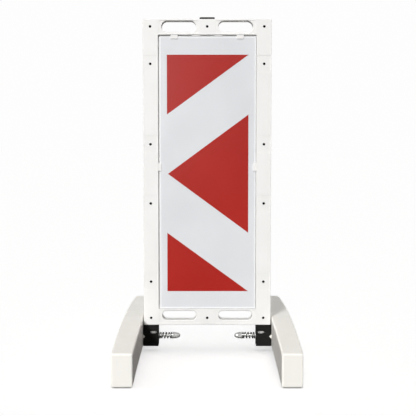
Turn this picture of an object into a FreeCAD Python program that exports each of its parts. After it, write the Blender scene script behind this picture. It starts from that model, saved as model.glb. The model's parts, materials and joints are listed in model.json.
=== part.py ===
import FreeCAD, Part
import math
import os

os.makedirs("parts", exist_ok=True)

# Upright direction board between two swing-out feet, in millimetres.
# X runs across the board, Y from its front (-) to its rear (+), Z up.
# The origin is on the ground, under the middle of the board.

# gaps between pieces that fit together
close_gap = 0.05
easy_gap = 0.2
loose_gap = 0.3
tolerance = 0.01

# frame
frame_width = 480.0
frame_height = 1149.0
frame_bottom = 103.5
frame_depth = 56.0
frame_corner_radius = 3.0
frame_edge_radius = 2.0
cavity_corner_radius = 1.5
wall = 3.5

# window that holds the panel, heights above the frame's bottom
window_width = 368.0
window_low = 61.0
window_high = 1091.6
window_corner_radius = 4.0
stop_lip = 8.0
stop_gap = 0.2
stop_lip_thickness = 3.0

# sign panel and its films
panel_width = 360.0
panel_shift = 1.9
panel_low = 62.0
panel_high = 1085.0
panel_setback = 6.0
panel_thickness = 6.0
sheeting_width = 351.0
sheeting_low = 68.0
sheeting_high = 1079.0
sheeting_thickness = 0.5
film_thickness = 0.3
pattern_width = 305.0
pattern_low = 128.5
pattern_step = 222.3
middle_apex = -0.98

# grip slots, in pairs either side of the middle
slot_length = 128.0
slot_middle = 106.0
slots = {"top": (1101.5, 1142.0), "bottom": (18.5, 53.0)}
slot_rim_radius = 3.5
slot_end_flat = 0.05
slot_recess = (31.0, 181.0)
slot_recess_radius = 8.0
recess_depth = 1.2
rail_edge = 5.0
rail_ledge = 3.5

# frame screws, heights above the frame's bottom
screw_column = 212.5
stile_screw_heights = (26.9, 165.1, 461.8, 684.3, 983.7, 1121.5)
rail_screw_heights = (26.9, 1121.5)
screw_boss_radius = 7.5
screw_head_radius = 4.8
screw_head_height = 3.0
screw_head_sink = 1.5
screw_radius = 2.0
screw_drive_flats = 4.0
screw_drive_depth = 2.0
screw_tip_setback = 12.0
pilot_hole_wall = 8.0
stile_pad_height = 64.0
stile_pad = (187.0, 237.0)
stile_pad_radius = 3.0

# clips that hold the panel
clip_thickness = 3.2
clip_corner_radius = 2.5
top_clip_middle = 123.0
top_clip_width = 27.0
top_clip_reach = 9.0
side_clip_low = 583.6
side_clip_height = 30.0
side_clip_reach = 8.0
spacer_middle = 41.0
spacer_width = 30.0
spacer_height = 1.5

# lamp socket on the top rail
socket_width = 57.0
socket_depth = 38.0
socket_height = 7.5
socket_stem_width = 46.0
socket_stem_depth = 26.0
socket_stem_length = 13.0
socket_bore_radius = 6.2
socket_floor = 3.0
socket_corner_radius = 5.0
socket_rim_radius = 1.5

# hinge blocks
block_inner = 185.0
block_outer = 243.4
block_bottom = 21.5
block_edge_radius = 2.5
groove_depth = 9.0
pocket_middle = 204.6
pocket_width = 29.5
pocket_low = 70.2
pocket_height = 9.8
label_panel = (191.0, 234.0, 83.0, 99.0)
label_panel_depth = 0.8

# fixing bolts between block and stile
fixing_radius = 8.0
fixing_depth = 13.2
fixing_head_radius = 9.6
fixing_head_height = 9.0
fixing_nut_flats = 24.5
fixing_nut_height = 9.0
fixing_nut_chamfer = 0.585
fixing_nut_gap = 0.4

# pivot, along X
pivot_height = 58.6
pivot_radius = 6.0
running_clearance = 0.06
pivot_end = 106.0
pivot_head_radius = 11.0
pivot_head_height = 8.0
pivot_head_edge_radius = 2.5
pivot_head_sink = 3.0
pivot_head_gap = 1.5
block_washer_radius = 14.0
spring_washer_radius = 13.0
washer_thickness = 2.5
spring_end = 132.5
spring_radius = 10.7
spring_wire = 4.5
spring_turns = 3.75
cap_nut_flats = 21.0
cap_nut_hex = 13.0
cap_nut_end = 103.0

# feet
foot_inner = 244.0
foot_end_outer = 314.0
foot_middle_outer = 320.0
foot_half_length = 600.0
foot_end_height = 115.5
foot_middle_height = 130.0
foot_arch = 18.0
foot_sole = 1.5
foot_edge_radius = 6.5
foot_wall = 5.5
foot_rib = 6.0
foot_bays = 5
foot_core = 48.0
pad_length = 54.0
pad_inset = 8.0
pad_height = 6.0
boss_radius = 17.0
boss_clearance = 0.4
bush_radius = 10.0
bush_start = 238.0

frame_top = frame_bottom + frame_height
half_depth = frame_depth / 2
panel_front = -half_depth + panel_setback
panel_back = panel_front + panel_thickness
screw_head_back = -half_depth + screw_head_sink + screw_head_height
sheeting_front = panel_front - sheeting_thickness
arch_start = foot_half_length - pad_length - 2 * pad_inset


def box(x, y, z):
    """Box between the two values given for each axis."""
    size = FreeCAD.Vector(x[1] - x[0], y[1] - y[0], z[1] - z[0])
    return Part.makeBox(size.x, size.y, size.z, FreeCAD.Vector(x[0], y[0], z[0]))


def rod_x(radius, x, y=0.0, z=pivot_height):
    """Cylinder along X between two values of x."""
    return Part.makeCylinder(radius, x[1] - x[0], FreeCAD.Vector(x[0], y, z), FreeCAD.Vector(1, 0, 0))


def rod_y(radius, x, y, z):
    """Cylinder along Y between two values of y."""
    return Part.makeCylinder(radius, y[1] - y[0], FreeCAD.Vector(x, y[0], z), FreeCAD.Vector(0, 1, 0))


def rod_z(radius, x, y, z):
    """Cylinder along Z between two values of z."""
    return Part.makeCylinder(radius, z[1] - z[0], FreeCAD.Vector(x, y, z[0]), FreeCAD.Vector(0, 0, 1))


def runs_along(edge, axis):
    """Whether a straight edge is parallel to the axis."""
    if not isinstance(edge.Curve, Part.Line):
        return False
    return abs(edge.Curve.Direction.dot(axis)) > 0.999


def rounded_slab(x, y, z, radius):
    """Box with its four edges along Y rounded."""
    slab = box(x, y, z)
    corners = [edge for edge in slab.Edges if runs_along(edge, FreeCAD.Vector(0, 1, 0))]
    return slab.makeFillet(radius, corners)


def hex_prism(flats, start, axis, length, turn=0.0):
    """Hexagonal prism along an axis, measured across its flats."""
    corner = flats / math.sqrt(3)
    points = []
    for k in range(7):
        angle = math.radians(60 * k + turn)
        points.append(FreeCAD.Vector(corner * math.cos(angle), corner * math.sin(angle), 0))
    prism = Part.Face(Part.makePolygon(points)).extrude(FreeCAD.Vector(0, 0, length))
    prism.Placement = FreeCAD.Placement(start, FreeCAD.Rotation(FreeCAD.Vector(0, 0, 1), axis))
    return prism


def on_both_sides(shape):
    """The shape and its mirror image across the middle of the board."""
    return [shape, mirrored(shape)]


def mirrored(shape):
    """Mirror image across the middle of the board."""
    return shape.mirror(FreeCAD.Vector(0, 0, 0), FreeCAD.Vector(1, 0, 0))


def save(name, shape):
    """Write one sub-part and say how many solids it has."""
    print(name, len(shape.Solids), round(shape.Volume / 1000, 1), shape.isValid())
    shape.exportStep("parts/" + name + ".step")


def screw_places():
    """Centre of every frame screw, as x and z."""
    places = [(0.0, frame_bottom + height) for height in rail_screw_heights]
    for height in stile_screw_heights:
        places += [(-screw_column, frame_bottom + height), (screw_column, frame_bottom + height)]
    return places


def slot_cutters(grow):
    """The four grip slots, grown by a margin, right through the frame."""
    cutters = []
    for low, high in slots.values():
        x = (slot_middle - slot_length / 2 - grow, slot_middle + slot_length / 2 + grow)
        z = (frame_bottom + low - grow, frame_bottom + high + grow)
        radius = (high - low) / 2 + grow - slot_end_flat
        cutters += on_both_sides(rounded_slab(x, (-half_depth, half_depth), z, radius))
    return cutters


def surface_recesses():
    """Shallow recesses in the front face: round the grip slots and round the stile screws."""
    y = (-half_depth, -half_depth + recess_depth)
    bottom_rail = (frame_bottom + rail_edge, frame_bottom + window_low - rail_ledge)
    top_rail = (frame_bottom + window_high + rail_ledge, frame_top - rail_edge)
    recesses = []
    for z in (bottom_rail, top_rail):
        recesses += on_both_sides(rounded_slab(slot_recess, y, z, slot_recess_radius))
    for height in stile_screw_heights[1:-1]:
        middle = frame_bottom + height
        z = (middle - stile_pad_height / 2, middle + stile_pad_height / 2)
        recesses += on_both_sides(rounded_slab(stile_pad, y, z, stile_pad_radius))
    return recesses


def frame_blank():
    """Front half of the frame as a solid ring, its front edges rounded."""
    outline = rounded_slab(
        (-frame_width / 2, frame_width / 2),
        (-half_depth, 0),
        (frame_bottom, frame_top),
        frame_corner_radius,
    )
    front_edges = [edge for edge in outline.Edges if edge.BoundBox.YMax < -half_depth + tolerance]
    outline = outline.makeFillet(frame_edge_radius, front_edges)
    return outline.cut(window(0.0))


def window(grow):
    """The window, grown by a margin."""
    return rounded_slab(
        (-window_width / 2 - grow, window_width / 2 + grow),
        (-half_depth, half_depth),
        (frame_bottom + window_low - grow, frame_bottom + window_high + grow),
        window_corner_radius + grow,
    )


def frame_cavity():
    """Hollow of the front half, which leaves its walls and its screw bosses."""
    cavity = rounded_slab(
        (-frame_width / 2 + wall, frame_width / 2 - wall),
        (-half_depth + wall, 0),
        (frame_bottom + wall, frame_top - wall),
        cavity_corner_radius,
    )
    bosses = [rod_y(screw_boss_radius, x, (-half_depth, 0), z) for x, z in screw_places()]
    return cavity.cut([window(wall)] + slot_cutters(wall) + bosses)


def stem_opening():
    """Opening in the top rail for the lamp socket's stem."""
    return box(
        (-socket_stem_width / 2 - loose_gap, socket_stem_width / 2 + loose_gap),
        (-socket_stem_depth / 2 - loose_gap, socket_stem_depth / 2 + loose_gap),
        (frame_top - 2 * wall, frame_top),
    )


def half_shell():
    """Walls that the front and rear halves of the frame share."""
    shell = frame_blank().cut(surface_recesses() + slot_cutters(0.0))
    recess_floor = -half_depth + recess_depth
    front_edges = [edge for edge in shell.Edges if edge.BoundBox.YMax < recess_floor + tolerance]
    rims = []
    for slot in slot_cutters(2 * slot_end_flat):
        rims += [edge for edge in front_edges if slot.BoundBox.isInside(edge.BoundBox)]
    shell = shell.makeFillet(slot_rim_radius, rims)
    return shell.cut([frame_cavity(), stem_opening()])


def stop_frame():
    """Lip round the window that the panel stands against."""
    y = (panel_back + stop_gap, panel_back + stop_gap + stop_lip_thickness)
    outer = window(wall / 2).common(box((-frame_width, frame_width), y, (frame_bottom, frame_top)))
    reach = window_width / 2 - stop_lip
    z = (frame_bottom + window_low + stop_lip, frame_bottom + window_high - stop_lip)
    return outer.cut(box((-reach, reach), y, z))


def front_frame_shell():
    """Front half with counterbored screw holes and the lip behind the panel."""
    shell = half_shell().fuse(stop_frame())
    holes = []
    for x, z in screw_places():
        holes.append(rod_y(screw_head_radius + easy_gap, x, (-half_depth, screw_head_back), z))
        holes.append(rod_y(screw_radius + easy_gap, x, (-half_depth, 0), z))
    holes += on_both_sides(
        rod_z(fixing_radius + loose_gap, pocket_middle, -fixing_depth, (frame_bottom, frame_bottom + wall))
    )
    return shell.cut(holes).removeSplitter()


def rear_frame_shell():
    """Rear half with blind pilot holes in its bosses."""
    shell = half_shell().mirror(FreeCAD.Vector(0, 0, 0), FreeCAD.Vector(0, 1, 0))
    depth = (0, half_depth - pilot_hole_wall)
    holes = [rod_y(screw_radius + close_gap, x, depth, z) for x, z in screw_places()]
    return shell.cut(holes)


def frame_screws():
    """Recessed pan-head screws that join the two halves."""
    screws = []
    head_front = screw_head_back - screw_head_height
    for x, z in screw_places():
        head = rod_y(screw_head_radius, x, (head_front, screw_head_back), z)
        start = FreeCAD.Vector(x, head_front, z)
        drive = hex_prism(screw_drive_flats, start, FreeCAD.Vector(0, 1, 0), screw_drive_depth)
        shank = rod_y(screw_radius, x, (screw_head_back, half_depth - screw_tip_setback), z)
        screws.append(head.cut(drive).fuse(shank))
    return Part.makeCompound(screws)


def flat_panel(width, low, high, front, thickness):
    """Thin plate in the window, given by its front face."""
    z = (frame_bottom + low, frame_bottom + high)
    x = (panel_shift - width / 2, panel_shift + width / 2)
    return box(x, (front, front + thickness), z)


def red_triangle(corners):
    """Film of one red triangle, from its corners as fractions of the pattern."""
    front = sheeting_front - film_thickness
    points = []
    for across, steps in corners + corners[:1]:
        z = frame_bottom + pattern_low + steps * pattern_step
        points.append(FreeCAD.Vector(panel_shift + across * pattern_width / 2, front, z))
    return Part.Face(Part.makePolygon(points)).extrude(FreeCAD.Vector(0, film_thickness, 0))


def top_clip():
    """Tab that hangs from the window's top edge over the panel, right-hand side."""
    x = (top_clip_middle - top_clip_width / 2, top_clip_middle + top_clip_width / 2)
    ledge = frame_bottom + window_high
    face = sheeting_front - loose_gap
    tab = box(x, (face - clip_thickness, face), (frame_bottom + panel_high - top_clip_reach, ledge))
    root = box(x, (face, panel_back), (frame_bottom + panel_high + loose_gap, ledge))
    lower_edges = [
        edge for edge in tab.Edges
        if runs_along(edge, FreeCAD.Vector(0, 1, 0)) and edge.BoundBox.ZMax < ledge - 1
    ]
    return tab.makeFillet(clip_corner_radius, lower_edges).fuse(root)


def side_clip():
    """Tab that reaches from the right stile over the panel's edge."""
    z = (frame_bottom + side_clip_low, frame_bottom + side_clip_low + side_clip_height)
    face = sheeting_front - loose_gap
    inner = panel_width / 2 - side_clip_reach
    tab = box((inner, window_width / 2), (face - clip_thickness, face), z)
    root = box((panel_width / 2 + panel_shift + loose_gap, window_width / 2), (face, panel_back), z)
    inner_edges = [
        edge for edge in tab.Edges
        if runs_along(edge, FreeCAD.Vector(0, 1, 0)) and edge.BoundBox.XMax < inner + 1
    ]
    return tab.makeFillet(clip_corner_radius, inner_edges).fuse(root)


def gap_spacers():
    """Two ribs that fill the gap above the panel."""
    x = (spacer_middle - spacer_width / 2, spacer_middle + spacer_width / 2)
    z = (frame_bottom + panel_high + loose_gap, frame_bottom + window_high)
    return Part.makeCompound(on_both_sides(box(x, (panel_front - spacer_height, panel_back), z)))


def lamp_socket():
    """Socket on the top rail: a flange, a stem in the rail and a blind vertical bore."""
    flange = box(
        (-socket_width / 2, socket_width / 2),
        (-socket_depth / 2, socket_depth / 2),
        (frame_top, frame_top + socket_height),
    )
    upright = [edge for edge in flange.Edges if runs_along(edge, FreeCAD.Vector(0, 0, 1))]
    flange = flange.makeFillet(socket_corner_radius, upright)
    rim = [edge for edge in flange.Edges if edge.BoundBox.ZMin > frame_top + socket_height - tolerance]
    flange = flange.makeFillet(socket_rim_radius, rim)
    stem = box(
        (-socket_stem_width / 2, socket_stem_width / 2),
        (-socket_stem_depth / 2, socket_stem_depth / 2),
        (frame_top - socket_stem_length, frame_top),
    )
    bore_floor = frame_top - socket_stem_length + socket_floor
    bore = rod_z(socket_bore_radius, 0, 0, (bore_floor, frame_top + socket_height))
    return flange.fuse(stem).cut(bore)


def cone_x(base_radius, depth, base_x):
    """Truncated 45 degree cone that narrows towards the middle of the board."""
    base = FreeCAD.Vector(base_x, 0, pivot_height)
    return Part.makeCone(base_radius, base_radius - depth, depth, base, FreeCAD.Vector(-1, 0, 0))


def locking_grooves():
    """V-grooves that cross on the block's outer face, one along Y and one along Z."""
    section = Part.makePolygon([
        FreeCAD.Vector(block_outer, -half_depth, pivot_height - groove_depth),
        FreeCAD.Vector(block_outer - groove_depth, -half_depth, pivot_height),
        FreeCAD.Vector(block_outer, -half_depth, pivot_height + groove_depth),
        FreeCAD.Vector(block_outer, -half_depth, pivot_height - groove_depth),
    ])
    level = Part.Face(section).extrude(FreeCAD.Vector(0, frame_depth, 0))
    upright = level.copy()
    upright.rotate(FreeCAD.Vector(0, 0, pivot_height), FreeCAD.Vector(1, 0, 0), 90)
    below = upright.copy()
    below.translate(FreeCAD.Vector(0, 0, block_bottom - pivot_height))
    return [level, upright, below]


def hinge_block():
    """Block under the right stile: pivot bore, locking grooves and nut pocket."""
    block = box((block_inner, block_outer), (-half_depth, half_depth), (block_bottom, frame_bottom))
    outer_edges = [edge for edge in block.Edges if edge.BoundBox.ZMax < frame_bottom - tolerance]
    upright = [edge for edge in block.Edges if runs_along(edge, FreeCAD.Vector(0, 0, 1))]
    block = block.makeFillet(block_edge_radius, outer_edges + upright)
    x = (pocket_middle - pocket_width / 2, pocket_middle + pocket_width / 2)
    y = (-half_depth, -fixing_depth + pocket_width / 2)
    pocket = box(x, y, (pocket_low, pocket_low + pocket_height))
    label = box(label_panel[:2], (-half_depth, -half_depth + label_panel_depth), label_panel[2:])
    cuts = [
        rod_x(pivot_radius + running_clearance, (block_inner, block_outer)),
        cone_x(boss_radius + boss_clearance, groove_depth + boss_clearance, block_outer),
        rod_z(fixing_radius + easy_gap, pocket_middle, -fixing_depth, (pocket_low, frame_bottom)),
        pocket,
        label,
    ]
    return block.cut(cuts + locking_grooves())


def fixing_bolt():
    """Bolt from inside the right stile down into the block's captive nut."""
    seat = frame_bottom + wall
    head = rod_z(fixing_head_radius, pocket_middle, -fixing_depth, (seat, seat + fixing_head_height))
    end = pocket_low + fixing_nut_gap
    return head.fuse(rod_z(fixing_radius, pocket_middle, -fixing_depth, (end, seat)))


def fixing_nut():
    """Captive nut that lies flat in the block's pocket, right-hand side."""
    low = pocket_low + fixing_nut_gap
    start = FreeCAD.Vector(pocket_middle, -fixing_depth, low)
    nut = hex_prism(fixing_nut_flats, start, FreeCAD.Vector(0, 0, 1), fixing_nut_height, 30)
    middle = FreeCAD.Vector(pocket_middle, -fixing_depth, low + fixing_nut_height / 2)
    chamfer = Part.makeSphere(fixing_nut_flats * fixing_nut_chamfer, middle)
    bore = rod_z(fixing_radius + close_gap, pocket_middle, -fixing_depth, (low, low + fixing_nut_height))
    return nut.common(chamfer).cut(bore)


def ring_x(outer_radius, inner_radius, x):
    """Washer or bush round the pivot axis."""
    return rod_x(outer_radius, x).cut(rod_x(inner_radius, x))


def head_seat():
    """Where the pivot bolt's head rests inside the foot."""
    return foot_middle_outer - pivot_head_height - pivot_head_sink


def pivot_bolt():
    """Bolt through the right foot and block, with its domed head sunk in the foot."""
    seat = head_seat()
    head_end = seat + pivot_head_height
    head = rod_x(pivot_head_radius, (seat, head_end))
    rim = [edge for edge in head.Edges if edge.BoundBox.XMin > head_end - tolerance]
    head = head.makeFillet(pivot_head_edge_radius, rim)
    return head.fuse(rod_x(pivot_radius, (pivot_end, seat)))


def block_washer():
    """Washer between the right block and its spring."""
    x = (block_inner - washer_thickness, block_inner)
    return ring_x(block_washer_radius, pivot_radius + loose_gap, x)


def spring_washer():
    """Washer between the spring and the cap nut, right-hand side."""
    x = (spring_end - washer_thickness, spring_end)
    return ring_x(spring_washer_radius, pivot_radius + close_gap, x)


def foot_spring():
    """Compression spring round the right pivot bolt."""
    length = block_inner - washer_thickness - spring_end - spring_wire
    helix = Part.makeHelix(length / spring_turns, length, spring_radius)
    section = Part.Circle(FreeCAD.Vector(spring_radius, 0, 0), FreeCAD.Vector(0, 1, 0), spring_wire / 2)
    coil = Part.Wire([helix]).makePipeShell([Part.Wire([section.toShape()])], True, True)
    start = FreeCAD.Vector(spring_end + spring_wire / 2, 0, pivot_height)
    turn = FreeCAD.Rotation(FreeCAD.Vector(0, 0, 1), FreeCAD.Vector(1, 0, 0))
    coil.Placement = FreeCAD.Placement(start, turn)
    return coil


def cap_nut():
    """Domed cap nut on the inner end of the right pivot bolt."""
    start = spring_end - washer_thickness
    hex_end = start - cap_nut_hex
    dome_radius = cap_nut_flats / 2
    body = hex_prism(
        cap_nut_flats,
        FreeCAD.Vector(hex_end, 0, pivot_height),
        FreeCAD.Vector(1, 0, 0),
        cap_nut_hex,
        30,
    )
    dome_height = hex_end - cap_nut_end
    sphere_radius = (dome_radius**2 + dome_height**2) / (2 * dome_height)
    dome = Part.makeSphere(sphere_radius, FreeCAD.Vector(cap_nut_end + sphere_radius, 0, pivot_height))
    dome = dome.common(rod_x(dome_radius, (cap_nut_end - 1, hex_end)))
    return body.fuse(dome).cut(rod_x(pivot_radius + close_gap, (pivot_end - easy_gap, start)))


def arc(start, middle, end):
    """Edge through three points."""
    return Part.Arc(start, middle, end).toShape()


def foot_side(drop, sole_rise):
    """Side outline of a foot as a face at x = 0, with its top lowered and its sole raised."""
    half = foot_half_length
    height = foot_end_height - drop
    sole = foot_sole + sole_rise
    top = [FreeCAD.Vector(0, -half, height), FreeCAD.Vector(0, half, height)]
    heel = [FreeCAD.Vector(0, -half, sole), FreeCAD.Vector(0, half, sole)]
    toe = [FreeCAD.Vector(0, -arch_start, sole), FreeCAD.Vector(0, arch_start, sole)]
    edges = [
        arc(top[0], FreeCAD.Vector(0, 0, foot_middle_height - drop), top[1]),
        Part.makeLine(top[1], heel[1]),
        Part.makeLine(heel[1], toe[1]),
        arc(toe[1], FreeCAD.Vector(0, 0, foot_arch + sole_rise), toe[0]),
        Part.makeLine(toe[0], heel[0]),
        Part.makeLine(heel[0], top[0]),
    ]
    return Part.Face(Part.Wire(edges))


def foot_plan():
    """Plan outline of the right foot, with its outer side bowed, as a block."""
    half = foot_half_length
    inner = [FreeCAD.Vector(foot_inner, -half, 0), FreeCAD.Vector(foot_inner, half, 0)]
    outer = [FreeCAD.Vector(foot_end_outer, -half, 0), FreeCAD.Vector(foot_end_outer, half, 0)]
    edges = [
        Part.makeLine(inner[0], outer[0]),
        arc(outer[0], FreeCAD.Vector(foot_middle_outer, 0, 0), outer[1]),
        Part.makeLine(outer[1], inner[1]),
        Part.makeLine(inner[1], inner[0]),
    ]
    return Part.Face(Part.Wire(edges)).extrude(FreeCAD.Vector(0, 0, foot_middle_height + 1))


def foot_hollow():
    """Bays between the ribs, open below."""
    inside = foot_side(foot_wall, -foot_wall).extrude(FreeCAD.Vector(foot_end_outer, 0, 0))
    bay = (arch_start - foot_core) / foot_bays
    bays = []
    for side in (-1, 1):
        for k in range(foot_bays):
            start = foot_core + k * bay
            y = sorted((side * start, side * (start + bay - foot_rib)))
            x = (foot_inner + foot_wall, foot_end_outer - foot_wall)
            bays.append(box(x, y, (-foot_wall, foot_middle_height)).common(inside))
    return bays


def foot_pad(side):
    """Rubber pad under the front (-1) or rear (1) end of the right foot."""
    outer = foot_half_length - pad_inset
    y = sorted((side * (outer - pad_length), side * outer))
    return box((foot_inner + pad_inset, foot_end_outer - pad_inset), y, (0, pad_height))


def at_arch_start(edge):
    """Whether an edge crosses the foot where its arch meets the flat under an end."""
    extent = edge.BoundBox
    return extent.YLength < tolerance and abs(extent.YMin) < arch_start + tolerance


def foot():
    """Right foot: arched beam with a locating cone on its inner face."""
    beam = foot_side(0, 0).extrude(FreeCAD.Vector(foot_middle_outer + foot_wall, 0, 0))
    beam = beam.common(foot_plan())
    rounded = [edge for edge in beam.Edges if not at_arch_start(edge)]
    beam = beam.makeFillet(foot_edge_radius, rounded)
    beam = beam.fuse(cone_x(boss_radius, groove_depth, foot_inner))
    seat = head_seat()
    cuts = [
        rod_x(bush_radius, (bush_start, seat)),
        rod_x(pivot_radius + boss_clearance, (foot_inner - groove_depth, bush_start)),
        rod_x(pivot_head_radius + pivot_head_gap, (seat, foot_middle_outer)),
        foot_pad(-1),
        foot_pad(1),
    ]
    return beam.cut(cuts + foot_hollow())


def foot_bush():
    """Steel bush that lines the right foot's pivot hole."""
    return ring_x(bush_radius, pivot_radius + running_clearance, (bush_start, head_seat()))


save("front_frame_shell", front_frame_shell())
save("rear_frame_shell", rear_frame_shell())
save("frame_screws", frame_screws())
save("sign_panel", flat_panel(panel_width, panel_low, panel_high, panel_front, panel_thickness))
save(
    "white_sheeting",
    flat_panel(sheeting_width, sheeting_low, sheeting_high, sheeting_front, sheeting_thickness),
)
save("top_red_triangle", red_triangle([(-1, 4), (1, 4), (-1, 3)]))
save("middle_red_triangle", red_triangle([(1, 3), (middle_apex, 2), (1, 1)]))
save("bottom_red_triangle", red_triangle([(-1, 1), (-1, 0), (1, 0)]))
save("gap_spacers", gap_spacers())
save("lamp_socket", lamp_socket())

sided_parts = {
    "top_clip": top_clip(),
    "side_clip": side_clip(),
    "hinge_block": hinge_block(),
    "fixing_bolt": fixing_bolt(),
    "fixing_nut": fixing_nut(),
    "pivot_bolt": pivot_bolt(),
    "block_washer": block_washer(),
    "spring_washer": spring_washer(),
    "foot_spring": foot_spring(),
    "cap_nut": cap_nut(),
    "foot": foot(),
    "foot_bush": foot_bush(),
    "front_foot_pad": foot_pad(-1),
    "rear_foot_pad": foot_pad(1),
}
for part_name, part_shape in sided_parts.items():
    save("right_" + part_name, part_shape)
    save("left_" + part_name, mirrored(part_shape))
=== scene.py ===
import json
import math
import bmesh
import bpy
from mathutils import Matrix, Vector


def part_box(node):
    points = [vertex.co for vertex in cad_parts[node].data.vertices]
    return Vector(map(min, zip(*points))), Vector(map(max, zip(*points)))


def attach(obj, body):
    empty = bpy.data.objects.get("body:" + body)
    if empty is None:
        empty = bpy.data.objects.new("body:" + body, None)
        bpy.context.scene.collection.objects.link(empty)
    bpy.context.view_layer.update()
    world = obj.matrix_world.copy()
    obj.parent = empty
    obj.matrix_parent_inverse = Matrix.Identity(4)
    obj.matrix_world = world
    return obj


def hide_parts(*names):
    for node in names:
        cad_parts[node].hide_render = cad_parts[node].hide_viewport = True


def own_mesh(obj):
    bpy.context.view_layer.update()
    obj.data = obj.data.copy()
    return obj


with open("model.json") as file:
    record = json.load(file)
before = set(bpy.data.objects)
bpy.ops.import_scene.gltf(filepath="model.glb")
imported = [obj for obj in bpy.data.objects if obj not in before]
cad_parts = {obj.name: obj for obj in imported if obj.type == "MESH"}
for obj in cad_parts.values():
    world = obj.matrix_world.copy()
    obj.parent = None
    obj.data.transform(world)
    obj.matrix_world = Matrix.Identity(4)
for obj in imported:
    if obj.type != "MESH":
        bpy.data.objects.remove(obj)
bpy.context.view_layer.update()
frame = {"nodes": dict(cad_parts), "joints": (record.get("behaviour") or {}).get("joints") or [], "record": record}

mm = 0.001
mergeDistance = 0.00001
noiseRoughness = 0.55
fullTurn = 2 * math.pi
quarterTurn = math.pi / 2
sides = {"right": 1, "left": -1}
pivotHeight = next(j["pos_m"][2] for j in frame["joints"] if j["name"] == "right_foot_swing")


class Value:  # one number that changes over a surface
    def __init__(self, shop, socket):
        self.shop = shop
        self.socket = socket

    def math(self, operation, *others):
        values = [self.socket] + [o.socket if isinstance(o, Value) else o for o in others]
        inputs = dict(enumerate(values))
        return self.shop.add("ShaderNodeMath", {"operation": operation}, inputs)

    def __add__(self, other):
        return self.math("ADD", other)

    def __radd__(self, other):
        return self.math("ADD", other)

    def __mul__(self, other):
        return self.math("MULTIPLY", other)

    def __rmul__(self, other):
        return self.math("MULTIPLY", other)

    def __sub__(self, other):
        return self.math("SUBTRACT", other)

    def __rsub__(self, other):
        return (self * -1) + other

    def __truediv__(self, other):
        return self.math("DIVIDE", other)

    def __rtruediv__(self, other):
        return self.math("POWER", -1) * other

    def size(self):
        return self.math("ABSOLUTE")

    def floor(self):
        return self.math("FLOOR")

    def least(self, other):
        return self.math("MINIMUM", other)

    def most(self, other):
        return self.math("MAXIMUM", other)

    def ramp(self, start, end):  # 0 at start, 1 at end, smooth between
        settings = {"interpolation_type": "SMOOTHSTEP"}
        inputs = {"Value": self, "From Min": start, "From Max": end}
        return self.shop.add("ShaderNodeMapRange", settings, inputs)


class Finish:  # one material and the nodes that it is made of
    def __init__(self, name, colour, roughness, **constants):
        self.material = bpy.data.materials.new(name)
        self.material.use_nodes = True
        self.tree = self.material.node_tree
        self.shader = self.tree.nodes["Principled BSDF"]
        self.shader.inputs["Base Color"].default_value = (*colour, 1)
        self.shader.inputs["Roughness"].default_value = roughness
        for socket, value in constants.items():
            self.shader.inputs[socket.replace("_", " ")].default_value = value
        self.place = self.add("ShaderNodeTexCoord", out="Object")

    def add(self, kind, settings={}, inputs={}, out=0):
        node = self.tree.nodes.new(kind)
        for key, value in settings.items():
            setattr(node, key, value)
        for key, value in inputs.items():
            if isinstance(value, Value):
                value = value.socket
            if isinstance(value, bpy.types.NodeSocket):
                self.tree.links.new(value, node.inputs[key])
            else:
                node.inputs[key].default_value = value
        return Value(self, node.outputs[out])

    def axis(self, k):  # one object coordinate, in metres
        return self.add("ShaderNodeSeparateXYZ", {}, {0: self.place}, out=k)

    def noise(self, scale, detail, stretch=(1, 1, 1)):
        place = self.place
        if stretch != (1, 1, 1):
            place = self.add("ShaderNodeMapping", {}, {"Vector": place, "Scale": stretch})
        inputs = {"Vector": place, "Scale": scale, "Detail": detail, "Roughness": noiseRoughness}
        return self.add("ShaderNodeTexNoise", {}, inputs)

    def tint(self, amount, first, second):  # mixes two colours or colour sockets
        settings = {"data_type": "RGBA", "blend_type": "MIX"}
        inputs = {0: amount, 6: first, 7: second}
        return self.add("ShaderNodeMix", settings, inputs, out=2)

    def bump(self, height):  # height in metres
        inputs = {"Height": height, "Distance": 1.0, "Strength": 1.0}
        self.feed("Normal", self.add("ShaderNodeBump", {}, inputs))

    def feed(self, socket, value):
        self.tree.links.new(value.socket, self.shader.inputs[socket])


def rgb(r, g, b):
    return (r, g, b, 1)


# every noise below is given as (scale, detail)
plasticSpec = {
    "cloud": (7, 4), "streak": (22, 3), "streakStretch": (1, 1, 0.15), "cloudShare": 0.7,
    "streakShare": 0.3, "blend": (0.3, 0.72), "fine": (1500, 2), "fineRange": (0.2, 0.8),
    "fineRoughness": 0.08, "cloudRoughness": 0.1, "middleRoughness": 0.09, "ripple": (9, 1),
    "rippleHeight": 6,
}


def mouldedPlastic(name, colour, shade, grain, roughness, gloss=0.5):
    spec = plasticSpec
    look = Finish(name, colour, roughness, Specular_IOR_Level=gloss)
    cloud = look.noise(*spec["cloud"])
    streak = look.noise(*spec["streak"], stretch=spec["streakStretch"])
    blend = (cloud * spec["cloudShare"] + streak * spec["streakShare"]).ramp(*spec["blend"])
    look.feed("Base Color", look.tint(blend, rgb(*shade), rgb(*colour)))
    fine = look.noise(*spec["fine"])
    dull = fine.ramp(*spec["fineRange"]) * spec["fineRoughness"] + cloud * spec["cloudRoughness"]
    look.feed("Roughness", dull + (roughness - spec["middleRoughness"]))
    ripple = look.noise(*spec["ripple"])
    look.bump(fine * grain + ripple * (grain * spec["rippleHeight"]))
    return look.material


honeycombSpec = {"cell": 3.4 * mm, "seam": (0.455, 0.485)}


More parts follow.
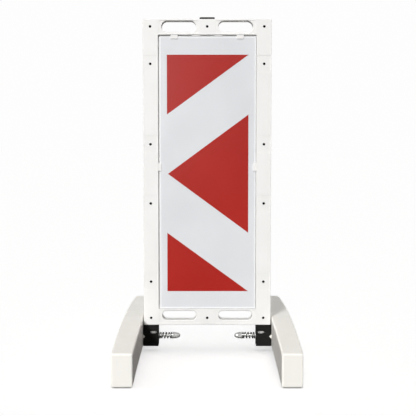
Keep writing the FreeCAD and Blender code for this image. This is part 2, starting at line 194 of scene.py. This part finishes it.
def honeycomb(look):  # 0 inside the cells, 1 on the seams between them
    x, z = look.axis(0), look.axis(2)
    cell = honeycombSpec["cell"]
    step = cell * math.sqrt(3)
    distances = []
    for shift in (0.0, 0.5):
        across = x / cell + shift
        along = z / step + shift
        a = ((across - across.floor()) - 0.5).size()
        b = ((along - along.floor()) - 0.5).size() * math.sqrt(3)
        distances.append((a * 0.5 + b * (math.sqrt(3) / 2)).most(a))
    nearest = distances[0].least(distances[1])
    return nearest.ramp(*honeycombSpec["seam"])


sheetingSpec = {
    "roughness": 0.28, "coatRoughness": 0.12, "ior": 1.45, "cloud": (5, 3), "cloudRange": (0.3, 0.7),
    "seamTint": 0.55, "sparkle": (2600, 1), "sparkleRoughness": 0.18, "seamRoughness": 0.12,
    "leastRoughness": 0.16, "seamHeight": 0.00004, "sparkleHeight": 0.00001, "wave": (14, 1),
    "waveHeight": 0.0002,
}


def sheetingFinish(name, colour, shade, seam, coat):
    spec = sheetingSpec
    shine = {"Coat_Weight": coat, "Coat_Roughness": spec["coatRoughness"], "IOR": spec["ior"]}
    look = Finish(name, colour, spec["roughness"], **shine)
    cloud = look.noise(*spec["cloud"]).ramp(*spec["cloudRange"])
    seams = honeycomb(look)
    ground = look.tint(cloud, rgb(*shade), rgb(*colour))
    look.feed("Base Color", look.tint(seams * spec["seamTint"], ground, rgb(*seam)))
    sparkle = look.noise(*spec["sparkle"])
    dull = sparkle * spec["sparkleRoughness"] + seams * spec["seamRoughness"]
    look.feed("Roughness", dull + spec["leastRoughness"])
    wave = look.noise(*spec["wave"])
    look.bump(seams * spec["seamHeight"] + sparkle * spec["sparkleHeight"] + wave * spec["waveHeight"])
    return look.material


metalSpec = {
    "patches": (160, 4), "patchRange": (0.35, 0.7), "grain": (900, 2), "grainRoughness": 0.14,
    "patchRoughness": 0.06, "middleRoughness": 0.1, "grainHeight": 0.00002,
}


def metal(name, colour, tarnish, roughness, metallic=1.0):
    spec = metalSpec
    look = Finish(name, colour, roughness, Metallic=metallic)
    patches = look.noise(*spec["patches"]).ramp(*spec["patchRange"])
    look.feed("Base Color", look.tint(patches, rgb(*tarnish), rgb(*colour)))
    grain = look.noise(*spec["grain"])
    dull = grain * spec["grainRoughness"] + patches * spec["patchRoughness"]
    look.feed("Roughness", dull + (roughness - spec["middleRoughness"]))
    look.bump(grain * spec["grainHeight"])
    return look.material


rubberSpec = {
    "plain": (0.025, 0.025, 0.026), "clean": (0.02, 0.02, 0.021), "dusty": (0.07, 0.068, 0.064),
    "roughness": 0.85, "dust": (60, 4), "dustRange": (0.45, 0.8), "dustTint": 0.5, "pores": (1100, 3),
    "poreHeight": 0.00006,
}


def rubberFinish():
    spec = rubberSpec
    look = Finish("padRubber", spec["plain"], spec["roughness"])
    dust = look.noise(*spec["dust"]).ramp(*spec["dustRange"])
    look.feed("Base Color", look.tint(dust * spec["dustTint"], rgb(*spec["clean"]), rgb(*spec["dusty"])))
    look.bump(look.noise(*spec["pores"]) * spec["poreHeight"])
    return look.material


whitePlastic = mouldedPlastic("framePlastic", (0.86, 0.852, 0.835), (0.82, 0.81, 0.79), 0.000012, 0.42)
panelPlastic = mouldedPlastic("panelPlastic", (0.84, 0.85, 0.86), (0.79, 0.8, 0.81), 0.000008, 0.35)
beigePlastic = mouldedPlastic("footPlastic", (0.9, 0.88, 0.83), (0.86, 0.84, 0.785), 0.00002, 0.5, 0.3)
blackPlastic = mouldedPlastic(
    "blockPlastic", (0.008, 0.008, 0.007), (0.005, 0.005, 0.004), 0.00002, 0.5, 0.2
)
whiteSheeting = sheetingFinish(
    "whiteSheeting", (0.74, 0.75, 0.77), (0.7, 0.71, 0.73), (0.8, 0.81, 0.82), 0.3
)
redFilm = sheetingFinish("redFilm", (0.42, 0.018, 0.012), (0.385, 0.015, 0.01), (0.47, 0.035, 0.026), 0.08)
zinc = metal("zincPlate", (0.93, 0.93, 0.91), (0.87, 0.87, 0.85), 0.3, 0.6)
springWire = metal("springWire", (0.78, 0.78, 0.77), (0.6, 0.6, 0.6), 0.22)
screwBlack = metal("screwBlack", (0.008, 0.008, 0.009), (0.005, 0.005, 0.005), 0.55)
padRubber = rubberFinish()
finishes = {
    "frame_plastic": whitePlastic,
    "panel_plastic": panelPlastic,
    "white_sheeting": whiteSheeting,
    "red_film": redFilm,
    "black_plastic": blackPlastic,
    "foot_plastic": beigePlastic,
    "rubber": padRubber,
    "zinc_steel": zinc,
    "spring_steel": springWire,
    "screw_steel": screwBlack,
}
for entry in frame["record"]["subparts"]:
    node = frame["nodes"][entry["node"]]
    node.data.materials.clear()
    node.data.materials.append(finishes[entry["material_slot"]])
print("finishes made:", len(finishes))


def finishPiece(name, bm, body, slotName, replaces, sign=1, sharp=35):
    if sign < 0:
        bmesh.ops.scale(bm, vec=(-1, 1, 1), verts=bm.verts)
    bmesh.ops.remove_doubles(bm, verts=bm.verts, dist=mergeDistance)
    bmesh.ops.recalc_face_normals(bm, faces=bm.faces)
    mesh = bpy.data.meshes.new(name)
    bm.to_mesh(mesh)
    bm.free()
    mesh.shade_smooth()
    mesh.set_sharp_from_angle(angle=math.radians(sharp))
    mesh.materials.append(finishes[slotName])
    piece = bpy.data.objects.new(name, mesh)
    bpy.context.scene.collection.objects.link(piece)
    even = piece.modifiers.new("evenNormals", "WEIGHTED_NORMAL")
    even.keep_sharp = True
    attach(piece, body)
    if replaces:
        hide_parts(*replaces)
    return piece


def roundEdges(bm, edges, radius, segments):
    bmesh.ops.bevel(
        bm, geom=list(edges), offset=radius, offset_type="OFFSET", affect="EDGES",
        segments=segments, profile=0.5, material=-1, clamp_overlap=True, loop_slide=True,
    )


def addLathe(bm, profile, steps):
    # turns a profile of (x, radius) points about the pivot's axis
    known = set(bm.verts)
    points = [bm.verts.new((along, 0, radius)) for along, radius in profile]
    edges = [bm.edges.new(pair) for pair in zip(points, points[1:])]
    bmesh.ops.spin(
        bm, geom=points + edges, cent=(0, 0, 0), axis=(1, 0, 0), dvec=(0, 0, 0),
        angle=fullTurn, steps=steps, use_merge=True, use_normal_flip=False, use_duplicate=False,
    )
    made = [v for v in bm.verts if v not in known]
    bmesh.ops.translate(bm, verts=made, vec=(0, 0, pivotHeight))


def addProfile(bm, corners, shift, radius=0.0, segments=2):
    # a flat outline, moved along a vector and rounded
    points = [bm.verts.new(corner) for corner in corners]
    grown = bmesh.ops.extrude_face_region(bm, geom=[bm.faces.new(points)])
    moved = [v for v in grown["geom"] if isinstance(v, bmesh.types.BMVert)]
    bmesh.ops.translate(bm, verts=moved, vec=shift)
    if radius:
        roundEdges(bm, {e for v in points + moved for e in v.link_edges}, radius, segments)


def addRings(bm, rings, segments):
    # joins rounded outlines (half width, half depth, squareness, height) and closes both ends
    loops = []
    for halfWidth, halfDepth, squareness, height in rings:
        made = bmesh.ops.create_circle(bm, segments=segments, radius=1)["verts"]
        for v in made:
            v.co.x = math.copysign(abs(v.co.x) ** (2 / squareness), v.co.x) * halfWidth
            v.co.y = math.copysign(abs(v.co.y) ** (2 / squareness), v.co.y) * halfDepth
        bmesh.ops.translate(bm, verts=made, vec=(0, 0, height))
        loops.append(list({e for v in made for e in v.link_edges}))
    for pair in zip(loops, loops[1:]):
        bmesh.ops.bridge_loops(bm, edges=pair[0] + pair[1])
    for end in (loops[0], loops[-1]):
        bmesh.ops.contextual_create(bm, geom=end)


def addHexPrism(bm, flats, x, edge, turn):
    # hexagonal prism along X, between two values of x
    made = bmesh.ops.create_circle(bm, cap_ends=True, segments=6, radius=flats / math.sqrt(3))
    bmesh.ops.rotate(bm, verts=made["verts"], matrix=Matrix.Rotation(turn, 3, "Z"))
    bmesh.ops.rotate(bm, verts=made["verts"], matrix=Matrix.Rotation(quarterTurn, 3, "Y"))
    bmesh.ops.translate(bm, verts=made["verts"], vec=(x[0], 0, pivotHeight))
    face = made["verts"][0].link_faces[0]
    grown = bmesh.ops.extrude_face_region(bm, geom=[face])
    moved = [v for v in grown["geom"] if isinstance(v, bmesh.types.BMVert)]
    bmesh.ops.translate(bm, verts=moved, vec=(x[1] - x[0], 0, 0))
    prism = made["verts"] + moved
    roundEdges(bm, {e for v in prism for e in v.link_edges}, edge, 2)


springSpec = {"wire": 4.5 * mm, "closedTurns": 0.9, "activeTurns": 3.3, "stepsPerTurn": 36, "facets": 12}


def makeSpring(side, sign):
    low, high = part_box("right_foot_spring")
    wire = springSpec["wire"]
    radius = (high.z - low.z) / 2 - wire / 2
    start = low.x + wire / 2
    room = (high.x - low.x) - wire - 2 * springSpec["closedTurns"] * wire
    stages = [
        (springSpec["closedTurns"], wire),
        (springSpec["activeTurns"], room / springSpec["activeTurns"]),
        (springSpec["closedTurns"], wire),
    ]
    bm = bmesh.new()
    ring = bmesh.ops.create_circle(bm, segments=springSpec["facets"], radius=wire / 2)["verts"]
    bmesh.ops.translate(bm, verts=ring, vec=(0, radius, 0))
    bmesh.ops.rotate(bm, verts=ring, matrix=Matrix.Rotation(quarterTurn, 3, "X"))
    bmesh.ops.rotate(bm, verts=ring, matrix=Matrix.Rotation(math.pi, 3, "X"))
    bmesh.ops.translate(bm, verts=ring, vec=(start, 0, pivotHeight))
    front = list({e for v in ring for e in v.link_edges})
    firstRing = list(front)
    for turns, pitch in stages:
        steps = round(turns * springSpec["stepsPerTurn"])
        advance = turns * pitch / steps
        spun = bmesh.ops.spin(
            bm, geom=front, cent=(0, 0, pivotHeight), axis=(1, 0, 0), dvec=(advance, 0, 0),
            angle=turns * fullTurn, steps=steps, use_merge=False, use_duplicate=False,
        )
        front = [e for e in spun["geom_last"] if isinstance(e, bmesh.types.BMEdge)]
    bmesh.ops.contextual_create(bm, geom=firstRing)
    bmesh.ops.contextual_create(bm, geom=front)
    piece = finishPiece(
        side + "Spring", bm, "frame", "spring_steel", [side + "_foot_spring"], sign, sharp=60
    )
    travel = next(j["range_m"][1] for j in frame["joints"] if j["name"] == side + "_foot_pull")
    length = high.x - low.x
    (length - travel) / length
    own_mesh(piece)


boltSpec = {
    "shank": 6 * mm, "head": 8 * mm, "dome": 3.5 * mm, "tip": 1.2 * mm, "threadPitch": 1.75 * mm,
    "threadDepth": 0.9 * mm, "threadEnd": 2 * mm, "domeSteps": 6, "domeShape": 0.7, "facets": 36,
}


def makePivotBolt(side, sign):
    low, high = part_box("right_pivot_bolt")
    headRadius = (high.z - low.z) / 2
    seat = high.x - boltSpec["head"]
    shank, dome, tip = boltSpec["shank"], boltSpec["dome"], boltSpec["tip"]
    pitch = boltSpec["threadPitch"]
    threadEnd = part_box("right_hinge_block")[0].x - boltSpec["threadEnd"]
    profile = [(low.x, 0), (low.x, shank - tip)]
    x = low.x + tip
    while x + pitch < threadEnd:  # ridges of the thread
        profile += [(x, shank - boltSpec["threadDepth"]), (x + pitch / 2, shank)]
        x += pitch
    profile += [(x, shank), (seat, shank), (seat, headRadius)]
    for k in range(boltSpec["domeSteps"] + 1):  # domed head
        angle = k / boltSpec["domeSteps"] * math.pi / 2
        across = headRadius * math.cos(angle) ** boltSpec["domeShape"]
        profile.append((high.x - dome * (1 - math.sin(angle)), across))
    bm = bmesh.new()
    addLathe(bm, profile, boltSpec["facets"])
    finishPiece(side + "PivotBolt", bm, side + "_pivot", "zinc_steel", [side + "_pivot_bolt"], sign)


washerSpec = {"bore": 6.4 * mm, "edge": 0.5 * mm, "facets": 48}


def makeWasher(side, sign, node, body):
    low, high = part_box("right_" + node)
    outer = (high.z - low.z) / 2
    inner, edge = washerSpec["bore"], washerSpec["edge"]
    bm = bmesh.new()
    loop = [
        (low.x, inner), (low.x, outer - edge), (low.x + edge, outer),
        (high.x - edge, outer), (high.x, outer - edge), (high.x, inner), (low.x, inner),
    ]
    addLathe(bm, loop, washerSpec["facets"])
    name = side + "".join(word.capitalize() for word in node.split("_"))
    finishPiece(name, bm, body, "zinc_steel", [side + "_" + node], sign)


capNutSpec = {
    "flats": 21 * mm, "hex": 13 * mm, "edge": 0.7 * mm, "shoulder": 0.4 * mm, "overlap": 1 * mm,
    "domeSteps": 8, "facets": 40,
}


def makeCapNut(side, sign):
    low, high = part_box("right_cap_nut")
    hexStart = high.x - capNutSpec["hex"]
    dome = capNutSpec["flats"] / 2 - capNutSpec["shoulder"]
    bm = bmesh.new()
    addHexPrism(bm, capNutSpec["flats"], (hexStart, high.x), capNutSpec["edge"], math.pi / 6)
    profile = [(low.x, 0)]
    for k in range(1, capNutSpec["domeSteps"] + 1):
        angle = k / capNutSpec["domeSteps"] * math.pi / 2
        profile.append((hexStart - (hexStart - low.x) * math.cos(angle), dome * math.sin(angle)))
    domeEnd = hexStart + capNutSpec["overlap"]
    profile += [(domeEnd, dome), (domeEnd, 0)]
    addLathe(bm, profile, capNutSpec["facets"])
    finishPiece(side + "CapNut", bm, side + "_pivot", "zinc_steel", [side + "_cap_nut"], sign)


nutSpec = {
    "edge": 0.5 * mm, "chamfer": 1.4 * mm, "bore": 8 * mm, "thread": 0.7 * mm, "turns": 4, "facets": 48,
}


def makeFixingNut(side, sign):
    # hexagon nut round an upright bolt, with a corner to the front and both ends turned down
    low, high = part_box("right_fixing_nut")
    middle = (low + high) / 2
    half = (high.x - low.x) / 2
    height = high.z - low.z
    edge, chamfer, turns = nutSpec["edge"], nutSpec["chamfer"], nutSpec["turns"]
    bm = bmesh.new()
    rings = []
    for radius, up in [(half - chamfer, 0), (half, edge), (half, height - edge), (half - chamfer, height)]:
        ring = bmesh.ops.create_circle(bm, segments=nutSpec["facets"], radius=radius)["verts"]
        bmesh.ops.translate(bm, verts=ring, vec=(0, 0, up))
        if radius == half:  # this circle becomes a hexagon
            for v in ring:
                angle = math.atan2(v.co.x, v.co.y) % (math.pi / 3) - math.pi / 6
                v.co.xy = v.co.xy / math.cos(angle)
        rings.append(list({e for v in ring for e in v.link_edges}))
    for k in range(turns * 2 + 1):
        radius = nutSpec["bore"] + (nutSpec["thread"] if k % 2 == 0 else 0)
        ring = bmesh.ops.create_circle(bm, segments=nutSpec["facets"], radius=radius)["verts"]
        bmesh.ops.translate(bm, verts=ring, vec=(0, 0, height * (1 - k / (turns * 2))))
        rings.append(list({e for v in ring for e in v.link_edges}))
    for pair in zip(rings, rings[1:] + rings[:1]):
        bmesh.ops.bridge_loops(bm, edges=pair[0] + pair[1])
    bmesh.ops.translate(bm, verts=bm.verts, vec=(middle.x, middle.y, low.z))
    finishPiece(side + "FixingNut", bm, "frame", "zinc_steel", [side + "_fixing_nut"], sign, sharp=28)


ridgeSpec = {"depth": 8.4 * mm, "tip": 1.2 * mm, "root": 0.5 * mm, "endGap": 0.6 * mm, "bushSink": 6 * mm}


def makeRidge(side, sign):
    # locking ridge along Y on the foot's inner face, which drops into the block's groove
    low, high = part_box("right_hinge_block")
    # the bush starts inside the locating boss, so the foot's inner face lies further out
    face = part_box("right_foot_bush")[0].x + ridgeSpec["bushSink"]
    start = low.y + ridgeSpec["endGap"]
    length = high.y - low.y - 2 * ridgeSpec["endGap"]
    depth = ridgeSpec["depth"]
    tip = ridgeSpec["tip"]
    root = ridgeSpec["root"]
    outline = [
        (face + root, -depth - root), (face - depth + tip, -tip), (face - depth + tip / 2, 0),
        (face - depth + tip, tip), (face + root, depth + root),
    ]
    bm = bmesh.new()
    addProfile(bm, [(x, start, pivotHeight + z) for x, z in outline], (0, length, 0))
    finishPiece(side + "LockingRidge", bm, side + "_foot", "foot_plastic", [], sign)


screwSpec = {
    "radius": 4.8 * mm, "head": 3 * mm, "edge": 0.7 * mm, "drive": 2.3 * mm, "socket": 2 * mm,
    "shank": 2 * mm, "taper": 3 * mm, "tip": 0.5 * mm, "spacing": 20 * mm, "facets": 24,
}


def screwCentres():
    # the middle of each head's front, read from the frame's own screws
    node = frame["nodes"]["frame_screws"]
    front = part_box("frame_screws")[0].y
    heads = []
    for vertex in node.data.vertices:
        if vertex.co.y > front + screwSpec["edge"] / 2:
            continue
        near = [head for head in heads if (head[0] - vertex.co).length < screwSpec["spacing"]]
        if near:
            near[0].append(vertex.co.copy())
        else:
            heads.append([vertex.co.copy()])
    centres = []
    for head in heads:
        across = [point.x for point in head]
        up = [point.z for point in head]
        centres.append(Vector(((min(across) + max(across)) / 2, front, (min(up) + max(up)) / 2)))
    return centres


def addScrew(bm, centre, length):
    # pan head with a hexagonal socket, facing the front
    rimRadius = screwSpec["radius"] - screwSpec["edge"]
    head = bmesh.ops.create_circle(bm, cap_ends=True, segments=screwSpec["facets"], radius=rimRadius)
    face = head["verts"][0].link_faces[0]
    rim = head["verts"]
    known = set(bm.verts) - set(rim)
    bmesh.ops.inset_region(bm, faces=[face], thickness=screwSpec["edge"], use_even_offset=True)
    for v in face.verts:  # the inner ring becomes a hexagon
        angle = math.atan2(v.co.y, v.co.x) % (math.pi / 3) - math.pi / 6
        v.co = v.co.normalized() * screwSpec["drive"] * math.cos(math.pi / 6) / math.cos(angle)
    grown = bmesh.ops.extrude_face_region(bm, geom=[face])["geom"]
    floor = [v for v in grown if isinstance(v, bmesh.types.BMVert)]
    bmesh.ops.translate(bm, verts=floor, vec=(0, 0, -screwSpec["socket"]))
    bmesh.ops.delete(bm, geom=[face], context="FACES_ONLY")
    edges = [e for v in rim for e in v.link_edges if all(w in rim for w in e.verts)]
    stages = [
        (screwSpec["radius"], -screwSpec["edge"]), (screwSpec["radius"], -screwSpec["head"]),
        (screwSpec["shank"], -screwSpec["head"]), (screwSpec["shank"], screwSpec["taper"] - length),
        (screwSpec["tip"], -length),
    ]
    ring = list(set(edges))
    for radius, height in stages:
        grown = bmesh.ops.extrude_edge_only(bm, edges=ring)["geom"]
        moved = [v for v in grown if isinstance(v, bmesh.types.BMVert)]
        for v in moved:
            v.co = Vector((v.co.x, v.co.y, 0)).normalized() * radius + Vector((0, 0, height))
        ring = [e for e in grown if isinstance(e, bmesh.types.BMEdge)]
    bmesh.ops.contextual_create(bm, geom=ring)
    made = [v for v in bm.verts if v not in known]
    bmesh.ops.rotate(bm, verts=made, cent=(0, 0, 0), matrix=Matrix.Rotation(quarterTurn, 3, "X"))
    bmesh.ops.translate(bm, verts=made, vec=centre)


def makeScrews():
    low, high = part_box("frame_screws")
    bm = bmesh.new()
    centres = screwCentres()
    for centre in centres:
        addScrew(bm, centre, high.y - low.y)
    finishPiece("frameScrews", bm, "frame", "screw_steel", ["frame_screws"])
    print("screws made:", len(centres))


clipSpec = {"topEdge": 1.0 * mm, "sideEdge": 0.7 * mm, "clearance": 0.3 * mm, "segments": 3}


def makeTopClip(side, sign):
    # L-shaped tab: it hangs over the panel's front and is rooted above the panel
    low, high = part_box("right_top_clip")
    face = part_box("white_sheeting")[0].y - clipSpec["clearance"]
    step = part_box("sign_panel")[1].z + clipSpec["clearance"]
    outline = [
        (low.y, low.z), (face, low.z), (face, step), (high.y, step), (high.y, high.z), (low.y, high.z),
    ]
    bm = bmesh.new()
    corners = [(low.x, y, z) for y, z in outline]
    addProfile(bm, corners, (high.x - low.x, 0, 0), clipSpec["topEdge"], clipSpec["segments"])
    finishPiece(side + "TopClip", bm, "frame", "frame_plastic", [side + "_top_clip"], sign)


def makeSideClip(side, sign):
    low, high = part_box("right_side_clip")
    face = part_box("white_sheeting")[0].y - clipSpec["clearance"]
    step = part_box("sign_panel")[1].x + clipSpec["clearance"]
    outline = [
        (low.x, low.y), (high.x, low.y), (high.x, high.y), (step, high.y), (step, face), (low.x, face),
    ]
    bm = bmesh.new()
    corners = [(x, y, low.z) for x, y in outline]
    addProfile(bm, corners, (0, 0, high.z - low.z), clipSpec["sideEdge"], clipSpec["segments"])
    finishPiece(side + "SideClip", bm, "frame", "frame_plastic", [side + "_side_clip"], sign)


socketSpec = {
    "bore": 6.2 * mm, "chamfer": 0.9 * mm, "rim": 1.6 * mm, "stem": (23 * mm, 13 * mm), "floor": 3 * mm,
    "collar": 3 * mm, "border": 4 * mm, "step": 0.6 * mm, "rimShare": 0.3, "facets": 64,
    "round": 2, "headSquareness": 7, "stemSquareness": 10,
}


def makeLampSocket():
    low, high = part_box("lamp_socket")
    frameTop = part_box("front_frame_shell")[1].z
    width, depth = high.x, high.y
    rim, chamfer, bore = socketSpec["rim"], socketSpec["chamfer"], socketSpec["bore"]
    collar, border, step = bore + socketSpec["collar"], socketSpec["border"], socketSpec["step"]
    stemWidth, stemDepth = socketSpec["stem"]
    top = high.z
    circle, square, stem = socketSpec["round"], socketSpec["headSquareness"], socketSpec["stemSquareness"]
    ease = rim * socketSpec["rimShare"]
    rings = [
        (bore, bore, circle, low.z + socketSpec["floor"]), (bore, bore, circle, top - chamfer),
        (bore + chamfer, bore + chamfer, circle, top), (collar, collar, circle, top),
        (collar + step, collar + step, circle, top - step),
        (width - border, depth - border, square, top - step),
        (width - border + step, depth - border + step, square, top),
        (width - rim, depth - rim, square, top), (width - ease, depth - ease, square, top - ease),
        (width, depth, square, top - rim),
        (width, depth, square, frameTop), (stemWidth, stemDepth, stem, frameTop),
        (stemWidth, stemDepth, stem, low.z),
    ]
    bm = bmesh.new()
    addRings(bm, rings, socketSpec["facets"])
    finishPiece("lampSocket", bm, "frame", "black_plastic", ["lamp_socket"])


padSpec = {"teeth": 7, "groove": 1.2 * mm, "gap": 0.3, "edge": 0.4 * mm}


def makePad(side, sign, end):
    # ribbed rubber pad: its ribs run across the foot
    low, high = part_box("right_" + end + "_foot_pad")
    pitch = (high.y - low.y) / padSpec["teeth"]
    outline = [(low.y, high.z), (low.y, low.z)]
    for k in range(1, padSpec["teeth"]):
        start = low.y + (k - padSpec["gap"] / 2) * pitch
        finish = low.y + (k + padSpec["gap"] / 2) * pitch
        groove = low.z + padSpec["groove"]
        outline += [(start, low.z), (start, groove), (finish, groove), (finish, low.z)]
    outline += [(high.y, low.z), (high.y, high.z)]
    bm = bmesh.new()
    addProfile(bm, [(low.x, y, z) for y, z in outline], (high.x - low.x, 0, 0), padSpec["edge"], 1)
    name = side + end.capitalize() + "Pad"
    finishPiece(name, bm, side + "_foot", "rubber", [side + "_" + end + "_foot_pad"], sign)


makeScrews()
makeLampSocket()
for side, sign in sides.items():
    makeTopClip(side, sign)
    makeSideClip(side, sign)
    makePad(side, sign, "front")
    makePad(side, sign, "rear")
    makeSpring(side, sign)
    makePivotBolt(side, sign)
    makeWasher(side, sign, "block_washer", "frame")
    makeWasher(side, sign, "spring_washer", side + "_pivot")
    makeCapNut(side, sign)
    makeFixingNut(side, sign)
    makeRidge(side, sign)
print("pivot hardware made")


cameraSpec = {"place": (0.003, -3.992, 0.845), "pitch": 4.28, "lens": 91.4, "sensor": 36, "reach": 200}
lightSpec = {
    "keySun": {"kind": "SUN", "from": (-0.3, -0.86, 0.4), "strength": 2.8, "angle": 11},
    "topSun": {"kind": "SUN", "from": (0.05, -0.1, 1.0), "strength": 0.3, "angle": 60, "floor": True},
    "backSun": {"kind": "SUN", "from": (0.0, 1.0, 0.06), "strength": 1.9, "angle": 25, "shine": False},
    "rightSun": {"kind": "SUN", "from": (1.0, -0.03, 0.015), "strength": 1.3, "angle": 3, "shine": False},
    "leftSun": {"kind": "SUN", "from": (-1.0, -0.03, 0.015), "strength": 1.1, "angle": 3, "shine": False},
    "softbox": {"kind": "AREA", "from": (-0.9, -4.4, 1.1), "strength": 9, "size": 1.3},
}
aim = Vector((0, 0, 0.5))
sunDistance = 5
floorSpec = {"paint": (0.93, 0.93, 0.925), "glow": 0.55, "roughness": 0.7, "half": 40}


def makeStage():
    bm = bmesh.new()
    bmesh.ops.create_grid(bm, x_segments=1, y_segments=1, size=floorSpec["half"])
    mesh = bpy.data.meshes.new("floor")
    bm.to_mesh(mesh)
    bm.free()
    glow = {"Emission_Color": rgb(1, 1, 1), "Emission_Strength": floorSpec["glow"]}
    look = Finish("floorPaint", floorSpec["paint"], floorSpec["roughness"], **glow)
    mesh.materials.append(look.material)
    floor = bpy.data.objects.new("floor", mesh)
    bpy.context.scene.collection.objects.link(floor)
    floor.visible_diffuse = False  # the floor throws no light back at the object
    floor.visible_glossy = False
    return floor


def makeLight(name, spec, floor):
    lamp = bpy.data.lights.new(name, spec["kind"])
    lamp.energy = spec["strength"]
    holder = bpy.data.objects.new(name, lamp)
    if spec["kind"] == "SUN":
        lamp.angle = math.radians(spec["angle"])
        holder.location = aim + Vector(spec["from"]).normalized() * sunDistance
    else:
        lamp.shape = "DISK"
        lamp.size = spec["size"]
        holder.location = spec["from"]
    towards = aim - Vector(holder.location)
    holder.rotation_euler = towards.to_track_quat("-Z", "Y").to_euler()
    holder.visible_glossy = spec.get("shine", True)
    bpy.context.scene.collection.objects.link(holder)
    if not spec.get("floor"):  # the slanting lights leave the floor alone, so that it stays evenly pale
        linked = bpy.data.collections.new(name + "Leaves")
        linked.objects.link(floor)
        linked.collection_objects[0].light_linking.link_state = "EXCLUDE"
        holder.light_linking.receiver_collection = linked


def makeCamera():
    camera = bpy.data.objects.new("camera", bpy.data.cameras.new("camera"))
    camera.location = cameraSpec["place"]
    camera.rotation_euler = (math.radians(90 - cameraSpec["pitch"]), 0, 0)
    camera.data.lens = cameraSpec["lens"]
    camera.data.sensor_width = cameraSpec["sensor"]
    camera.data.clip_end = cameraSpec["reach"]
    bpy.context.scene.collection.objects.link(camera)
    bpy.context.scene.camera = camera


worldSpec = {"below": 0.03, "above": 0.4, "rise": (-0.25, 0.5), "backdrop": 0.985}


def makeWorld():
    # soft light that is brighter overhead, in front of a plain white backdrop
    world = bpy.data.worlds.new("studio")
    world.use_nodes = True
    nodes, links = world.node_tree.nodes, world.node_tree.links
    direction = nodes.new("ShaderNodeTexCoord")
    split = nodes.new("ShaderNodeSeparateXYZ")
    rise = nodes.new("ShaderNodeMapRange")
    rise.interpolation_type = "SMOOTHSTEP"
    rise.inputs["From Min"].default_value, rise.inputs["From Max"].default_value = worldSpec["rise"]
    rise.inputs["To Min"].default_value = worldSpec["below"]
    rise.inputs["To Max"].default_value = worldSpec["above"]
    soft = nodes["Background"]
    soft.inputs["Color"].default_value = rgb(1, 1, 1)
    backdrop = nodes.new("ShaderNodeBackground")
    backdrop.inputs["Color"].default_value = rgb(1, 1, 1)
    backdrop.inputs["Strength"].default_value = worldSpec["backdrop"]
    path = nodes.new("ShaderNodeLightPath")
    mix = nodes.new("ShaderNodeMixShader")
    links.new(direction.outputs["Generated"], split.inputs[0])
    links.new(split.outputs["Z"], rise.inputs["Value"])
    links.new(rise.outputs[0], soft.inputs["Strength"])
    links.new(path.outputs["Is Camera Ray"], mix.inputs[0])
    links.new(soft.outputs[0], mix.inputs[1])
    links.new(backdrop.outputs[0], mix.inputs[2])
    links.new(mix.outputs[0], nodes["World Output"].inputs["Surface"])
    bpy.context.scene.world = world


makeWorld()
bpy.context.scene.view_settings.view_transform = "Standard"
floor = makeStage()
for lampName, lampSpec in lightSpec.items():
    makeLight(lampName, lampSpec, floor)
makeCamera()
print("stage made")
